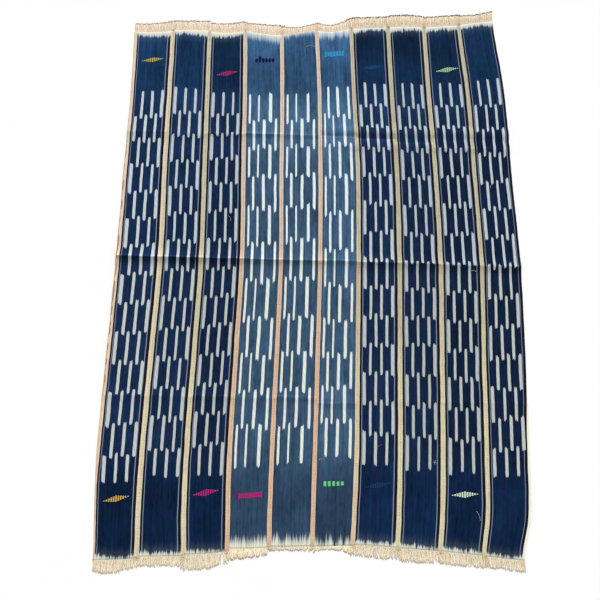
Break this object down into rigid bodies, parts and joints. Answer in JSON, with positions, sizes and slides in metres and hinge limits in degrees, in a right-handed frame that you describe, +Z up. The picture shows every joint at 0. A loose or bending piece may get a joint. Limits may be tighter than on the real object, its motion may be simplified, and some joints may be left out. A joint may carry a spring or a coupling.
{
  "type": "handwoven indigo cloth",
  "caption": "Strip-woven indigo cotton cloth with pale ikat dashes, cream and peach selvedges and short fringes, lying open and flat with soft fold lines.",
  "frame": {"origin": "middle of the cloth's underside, at the centre of its outline's box", "axes": "+Z up from the surface it lies on, +Y along the strips to the far end, +X across the strips"},
  "size_m": [1.039, 1.5284, 0.0095],
  "materials": {
    "dark_cloth": "matte, warp-faced cotton, dark indigo with pale dashes and cream selvedges",
    "washed_cloth": "matte, warp-faced cotton, washed indigo with pale dashes and peach selvedges",
    "undyed_yarn": "matte, undyed cream cotton yarn"
  },
  "bodies": {
    "root": {"strip_01": "dark_cloth", "fringe_top_01": "undyed_yarn", "fringe_low_01": "undyed_yarn", "strip_02": "dark_cloth", "fringe_top_02": "undyed_yarn", "fringe_low_02": "undyed_yarn", "strip_03": "dark_cloth", "fringe_top_03": "undyed_yarn", "fringe_low_03": "undyed_yarn", "strip_04": "washed_cloth", "fringe_top_04": "undyed_yarn", "fringe_low_04": "undyed_yarn", "strip_05": "washed_cloth", "fringe_top_05": "undyed_yarn", "fringe_low_05": "undyed_yarn", "strip_06": "washed_cloth", "fringe_top_06": "undyed_yarn", "fringe_low_06": "undyed_yarn", "strip_07": "dark_cloth", "fringe_top_07": "undyed_yarn", "fringe_low_07": "undyed_yarn", "strip_08": "dark_cloth", "fringe_top_08": "undyed_yarn", "fringe_low_08": "undyed_yarn", "strip_09": "dark_cloth", "fringe_top_09": "undyed_yarn", "fringe_low_09": "undyed_yarn", "strip_10": "dark_cloth", "fringe_top_10": "undyed_yarn", "fringe_low_10": "undyed_yarn"}
  },
  "joints": []
}
